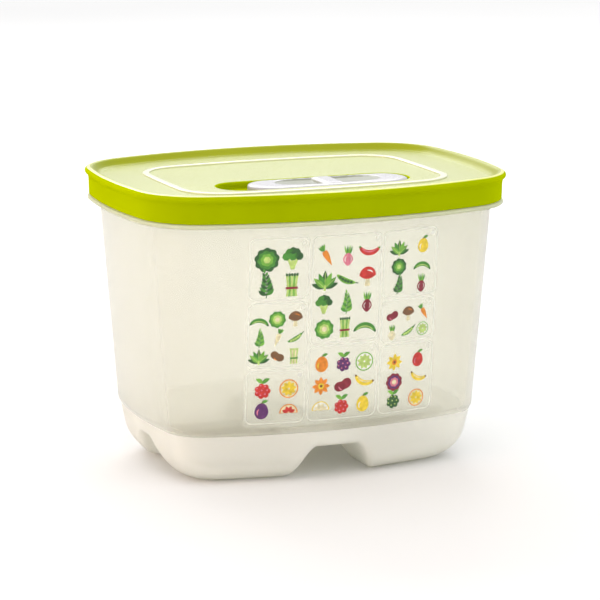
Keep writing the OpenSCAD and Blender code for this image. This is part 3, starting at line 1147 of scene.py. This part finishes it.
    def capsule(self, x, z, s, rnd, col="yellow", hi="cream", end="brown", a0=200, a1=300):
        r = s * 0.62
        am = math.radians((a0 + a1) / 2)
        cx, cz = x - r * math.cos(am), z - r * math.sin(am)
        self.arc(cx, cz, r, a0, a1, s * 0.26, col, 0, 14)
        self.arc(cx, cz, r - s * 0.05, a0 + 10, a1 - 10, s * 0.05, hi, 1, 12)
        for a in (a0, a1):
            self.blob(cx + r * math.cos(math.radians(a)), cz + r * math.sin(math.radians(a)), s * 0.055, end, 2, 12)

    def kidney(self, x, z, s, rnd, col="crimson", hi="pink", rot=0.4):
        self.blob(
            x, z,
            lambda t: s * (0.34 + 0.10 * math.cos(2 * t) - 0.07 * max(math.sin(t), 0) ** 4),
            col, 0, 32, rot,
        )
        self.arc(x, z - s * 0.04, s * 0.20, 190, 260, s * 0.06, hi, 1)

    def fan_leaf(self, x, z, s, rnd, cols=("dark_green", "green", "leaf")):
        for k in range(7):
            a = 90 + (k - 3) * 24
            self.leaf(x, z - s * 0.36, s * (0.80 - 0.05 * abs(k - 3)), s * 0.26, a, cols[k % 3], k % 3, 0, 9, "pale_green" if k % 2 else None)
        self.strip([(x, z - s * 0.48), (x, z - s * 0.36), (x, z - s * 0.22)], [s * 0.05, s * 0.05, s * 0.03], "pale_green", 5)

    def crown(self, x, z, s, rnd, cap="dark_green", stem="pale_green"):
        for k, a in enumerate((62, 90, 118)):
            self.strip(
                [(x + 0.02 * k, z - s * 0.45), (x + s * 0.12 * (k - 1) * -1, z - s * 0.15), (x + s * 0.22 * (k - 1) * -1, z + s * 0.06)],
                [s * 0.07, s * 0.06, s * 0.05], stem, 0,
            )
        for k, (u, v, q) in enumerate(
            ((-0.27, 0.08, 0.17), (0.27, 0.08, 0.17), (-0.14, 0.24, 0.18), (0.14, 0.24, 0.18), (0, 0.10, 0.19), (0, 0.32, 0.15))
        ):
            ph = rnd.uniform(0, 6)
            self.blob(
                x + u * s, z + v * s,
                lambda t, q=q, ph=ph: s * q * (0.88 + 0.12 * abs(math.sin(3.5 * t + ph))),
                cap if k % 2 else "green", 1 + k % 3, 28,
            )

    def root(self, x, z, s, rnd, col="orange", hi="yellow", tilt=-60):
        a = math.radians(tilt)
        ca, sa = math.cos(a), math.sin(a)
        pts = [(x + s * (0.5 - t) * -ca, z + s * (0.5 - t) * -sa) for t in [0.22 + 0.78 * i / 9 for i in range(10)]]
        self.strip(pts, [s * w for w in (0.10, 0.14, 0.145, 0.135, 0.12, 0.10, 0.08, 0.055, 0.03, 0.01)], col, 1)
        for k in (2, 4, 6):
            p = pts[k]
            self.strip(
                [(p[0] - s * 0.06 * sa, p[1] + s * 0.06 * ca), (p[0], p[1])],
                [0.12, 0.08], hi, 2,
            )
        for k in range(4):
            self.leaf(pts[0][0], pts[0][1], s * 0.34, s * 0.11, tilt + 180 + (k - 1.5) * 20, "green" if k % 2 else "leaf", k % 2, 0.05, 7)


def build_figures():
    rnd = random.Random(11)
    ik = Ink()
    # panels: x from, x to, z from, z to, figures across, figures up
    panels = [
        (-49.2, -20.2, 32.0, 58.5, 2, 2),
        (-49.2, -20.2, 60.1, 92.5, 3, 3),
        (-49.2, -20.2, 94.1, 124.4, 2, 2),
        (-18.6, 17.6, 32.0, 69.5, 3, 3),
        (-18.6, 17.6, 71.1, 124.4, 3, 4),
        (19.2, 49.2, 32.0, 66.5, 2, 3),
        (19.2, 49.2, 68.1, 89.5, 3, 2),
        (19.2, 49.2, 91.1, 124.4, 2, 3),
    ]
    M = {
        "sprig": lambda x, z, s: ik.sprig(x, z, s, rnd),
        "sprig2": lambda x, z, s: ik.sprig(x, z, s, rnd, ("dark_green", "green")),
        "ros": lambda x, z, s: ik.rosette(x, z, s, rnd),
        "ros2": lambda x, z, s: ik.rosette(x, z, s, rnd, ("crimson", "purple", "pink", "cream")),
        "ros3": lambda x, z, s: ik.rosette(x, z, s, rnd, ("green", "leaf", "pale_green", "cream")),
        "ber": lambda x, z, s: ik.berries(x, z, s, rnd),
        "ber2": lambda x, z, s: ik.berries(x, z, s, rnd, "red", "pink"),
        "ber3": lambda x, z, s: ik.berries(x, z, s, rnd, "dark_green", "pale_green"),
        "sl": lambda x, z, s: ik.slice(x, z, s, rnd),
        "sl2": lambda x, z, s: ik.slice(x, z, s, rnd, "leaf", "pale_green", "milk"),
        "sl3": lambda x, z, s: ik.slice(x, z, s, rnd, "orange", "red", "cream", True),
        "sl4": lambda x, z, s: ik.slice(x, z, s, rnd, "yellow", "cream", "milk", True),
        "mus": lambda x, z, s: ik.mushroom(x, z, s, rnd),
        "mus2": lambda x, z, s: ik.mushroom(x, z, s, rnd, "red", "cream"),
        "drp": lambda x, z, s: ik.drop(x, z, s, rnd),
        "drp2": lambda x, z, s: ik.drop(x, z, s, rnd, "orange", "yellow"),
        "drp3": lambda x, z, s: ik.drop(x, z, s, rnd, "purple", "pink"),
        "drp4": lambda x, z, s: ik.drop(x, z, s, rnd, "red", "pink"),
        "pod": lambda x, z, s: ik.pod(x, z, s, rnd),
        "pod2": lambda x, z, s: ik.pod(x, z, s, rnd, "leaf", "dark_green", -25),
        "blb": lambda x, z, s: ik.bulb(x, z, s, rnd),
        "blb2": lambda x, z, s: ik.bulb(x, z, s, rnd, "crimson"),
        "blb3": lambda x, z, s: ik.bulb(x, z, s, rnd, "cream"),
        "bun": lambda x, z, s: ik.bundle(x, z, s, rnd),
        "bun2": lambda x, z, s: ik.bundle(x, z, s, rnd, "cream", "pale_green", "green"),
        "flo": lambda x, z, s: ik.flower(x, z, s, rnd),
        "flo2": lambda x, z, s: ik.flower(x, z, s, rnd, "yellow", "orange"),
        "cap": lambda x, z, s: ik.capsule(x, z, s, rnd),
        "cap2": lambda x, z, s: ik.capsule(x, z, s, rnd, "green", "pale_green", "dark_green", 30, 140),
        "cap3": lambda x, z, s: ik.capsule(x, z, s, rnd, "red", "pink", "green", 210, 320),
        "kid": lambda x, z, s: ik.kidney(x, z, s, rnd),
        "kid2": lambda x, z, s: ik.kidney(x, z, s, rnd, "brown", "orange", -0.5),
        "fan": lambda x, z, s: ik.fan_leaf(x, z, s, rnd),
        "crw": lambda x, z, s: ik.crown(x, z, s, rnd),
        "rot": lambda x, z, s: ik.root(x, z, s, rnd),
        "rot2": lambda x, z, s: ik.root(x, z, s, rnd, "cream", "brown", -110),
    }
    lists = [
        ["ber2", "sl", "drp3", "sl3"],
        ["cap2", "ros3", "mus", "sprig", "rot2", "pod", "fan", "kid2", "bun2"],
        ["ros", "crw", "sprig2", "bun"],
        ["drp2", "ber", "sl2", "flo", "kid", "cap", "sl4", "ber2", "drp"],
        ["rot", "blb", "cap3", "fan", "pod2", "mus2", "crw", "sprig", "blb2", "ros3", "bun", "cap2"],
        ["flo2", "drp4", "ros2", "cap", "ber3", "sl"],
        ["kid", "mus", "rot", "blb3", "pod", "sl2"],
        ["fan", "drp", "ros", "cap2", "sprig2", "blb2"],
    ]
    for (x0, x1, z0, z1, nx, nz), names in zip(panels, lists):
        ik.outline_box(x0, x1, z0, z1, 3.2, 0.36, "milk", 0)
        cw, ch = (x1 - x0 - 3.0) / nx, (z1 - z0 - 5.0) / nz
        s = min(cw * 0.95, ch * 0.95)
        k = 0
        for j in range(nz):
            for i in range(nx):
                x = x0 + 1.5 + cw * (i + 0.5) + rnd.uniform(-0.35, 0.35)
                z = z1 - 4.0 - ch * (j + 0.5) + rnd.uniform(-0.3, 0.3)
                if k < len(names):
                    M[names[k]](x, z, min(s, 15.5) * rnd.uniform(0.95, 1.04))
                k += 1
    # plain round marks: open, half and full
    for x, z, kind in (
        (-22.8, 121.6, 0), (-22.8, 89.8, 1), (-22.8, 55.8, 2),
        (15.0, 121.6, 1), (15.0, 66.8, 0), (46.6, 121.6, 2),
        (46.6, 86.8, 0), (46.6, 63.8, 1),
    ):
        ring = [
            (x + 1.25 * math.cos(2 * math.pi * i / 20), z + 1.25 * math.sin(2 * math.pi * i / 20))
            for i in range(20)
        ]
        ik.loop_band(ring, 0.26, "milk", 1)
        if kind == 1:
            ik.patch(
                [
                    [(x + q * math.cos(math.radians(a)), z + q * math.sin(math.radians(a))) for a in range(-90, 91, 20)]
                    for q in (0.85, 0.4, 0.02)
                ],
                "milk", 1,
            )
        if kind == 2:
            ik.blob(x, z, 0.85, "milk", 1, 16)
    return ik.sh.make("film_print", INK_MATS, "tub", "print_film", 30)


# --------------------------------------------------------------- build it all
build_tub()
build_lid()
build_slider()
build_film()
build_figures()

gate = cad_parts["vent_gate"]
gate.data.materials.clear()
gate.data.materials.append(GATE)
bev = gate.modifiers.new("edge", "BEVEL")
bev.width = 0.00025
bev.segments = 2
bev.limit_method = "ANGLE"
bev.angle_limit = math.radians(40)

# ------------------------------------------------------- floor, light, camera
fm = bpy.data.meshes.new("studio_floor")
fm.from_pydata([(-9, -9, -0.0001), (9, -9, -0.0001), (9, 9, -0.0001), (-9, 9, -0.0001)], [], [(0, 1, 2, 3)])
floor = bpy.data.objects.new("studio_floor", fm)
bpy.context.scene.collection.objects.link(floor)
mat, nt, p = new_mat("studio_floor")
tc = node(nt, "ShaderNodeTexCoord")
n = noise(nt, tc, 3.0, 2.0, 0.5)
c = ramp(nt, n.outputs["Fac"], [(0.3, (0.755, 0.755, 0.755)), (0.7, (0.770, 0.770, 0.770))])
nt.links.new(c.outputs["Color"], p.inputs["Base Color"])
p.inputs["Roughness"].default_value = 0.9
p.inputs["Specular IOR Level"].default_value = 0.1
fm.materials.append(mat)

world = bpy.data.worlds.new("studio")
bpy.context.scene.world = world
world.use_nodes = True
nt = world.node_tree
nt.nodes.clear()
out = node(nt, "ShaderNodeOutputWorld")
tc = node(nt, "ShaderNodeTexCoord")
sep = node(nt, "ShaderNodeSeparateXYZ")
nt.links.new(tc.outputs["Generated"], sep.inputs[0])


def curve(src, stops):
    """Brightness by direction, as a grey ramp scaled to 0 .. 2."""
    m = node(nt, "ShaderNodeMapRange")
    m.inputs["From Min"].default_value = -1
    m.inputs["From Max"].default_value = 1
    nt.links.new(src, m.inputs["Value"])
    r = ramp(nt, m.outputs["Result"], [(q, (v / 2,) * 3) for q, v in stops])
    return r.outputs["Color"]


# a white tent, brighter towards the front and slightly brighter high above
front = curve(sep.outputs["Y"], [(0.0, 1.36), (0.35, 1.30), (0.62, 1.10), (1.0, 1.12)])
above = curve(sep.outputs["Z"], [(0.0, 1.0), (0.5, 1.0), (0.68, 1.0), (0.9, 1.05)])
mul = node(nt, "ShaderNodeMix", data_type="RGBA", blend_type="MULTIPLY")
mul.inputs["Factor"].default_value = 1.0
nt.links.new(front, mul.inputs["A"])
nt.links.new(above, mul.inputs["B"])
bg = node(nt, "ShaderNodeBackground")
bg.inputs["Strength"].default_value = 4.0
nt.links.new(mul.outputs["Result"], bg.inputs["Color"])
white = node(nt, "ShaderNodeBackground")
white.inputs["Color"].default_value = (1, 1, 1, 1)
white.inputs["Strength"].default_value = 1.0
lp = node(nt, "ShaderNodeLightPath")
mix = node(nt, "ShaderNodeMixShader")
nt.links.new(lp.outputs["Is Camera Ray"], mix.inputs["Fac"])
nt.links.new(bg.outputs[0], mix.inputs[1])
nt.links.new(white.outputs[0], mix.inputs[2])
nt.links.new(mix.outputs[0], out.inputs["Surface"])


def area(name, loc, target, size, power, colour=(1, 1, 1)):
    d = bpy.data.lights.new(name, "AREA")
    d.shape = "RECTANGLE"
    d.size, d.size_y = size
    d.energy = power
    d.color = colour
    o = bpy.data.objects.new(name, d)
    bpy.context.scene.collection.objects.link(o)
    o.location = loc
    o.rotation_euler = (Vector(target) - Vector(loc)).to_track_quat("-Z", "Y").to_euler()
    return o


area("key_left", (-1.30, -0.30, 0.55), (0, 0, 0.07), (0.8, 0.6), 6.5, (1.0, 0.62, 0.42))
area("back_soft", (0.15, 1.35, 1.05), (0, 0, 0.05), (1.4, 0.8), 13.0)

cam_data = bpy.data.cameras.new("camera")
cam_data.sensor_fit = "HORIZONTAL"
cam_data.sensor_width = 36.0
cam_data.lens = 179.46
cam_data.clip_end = 60.0
cam = bpy.data.objects.new("camera", cam_data)
bpy.context.scene.collection.objects.link(cam)
az, el, roll = math.radians(-22.69), math.radians(11.5), math.radians(0.14)
back = Vector((math.sin(az) * math.cos(el), -math.cos(az) * math.cos(el), math.sin(el)))
right = Vector((math.cos(az), math.sin(az), 0.0))
up = back.cross(right)
place = Vector((0, 0, 60)) + right * 2.89 + up * 18.87 + back * 1513.25
r2 = right * math.cos(roll) + up * math.sin(roll)
u2 = up * math.cos(roll) - right * math.sin(roll)
m3 = Matrix((r2, u2, back)).transposed()
cam.matrix_world = Matrix.Translation(place * MM) @ m3.to_4x4()
bpy.context.scene.camera = cam

vs = bpy.context.scene.view_settings
vs.view_transform = "Standard"
vs.look = "None"
vs.exposure = 0.0
vs.gamma = 1.0
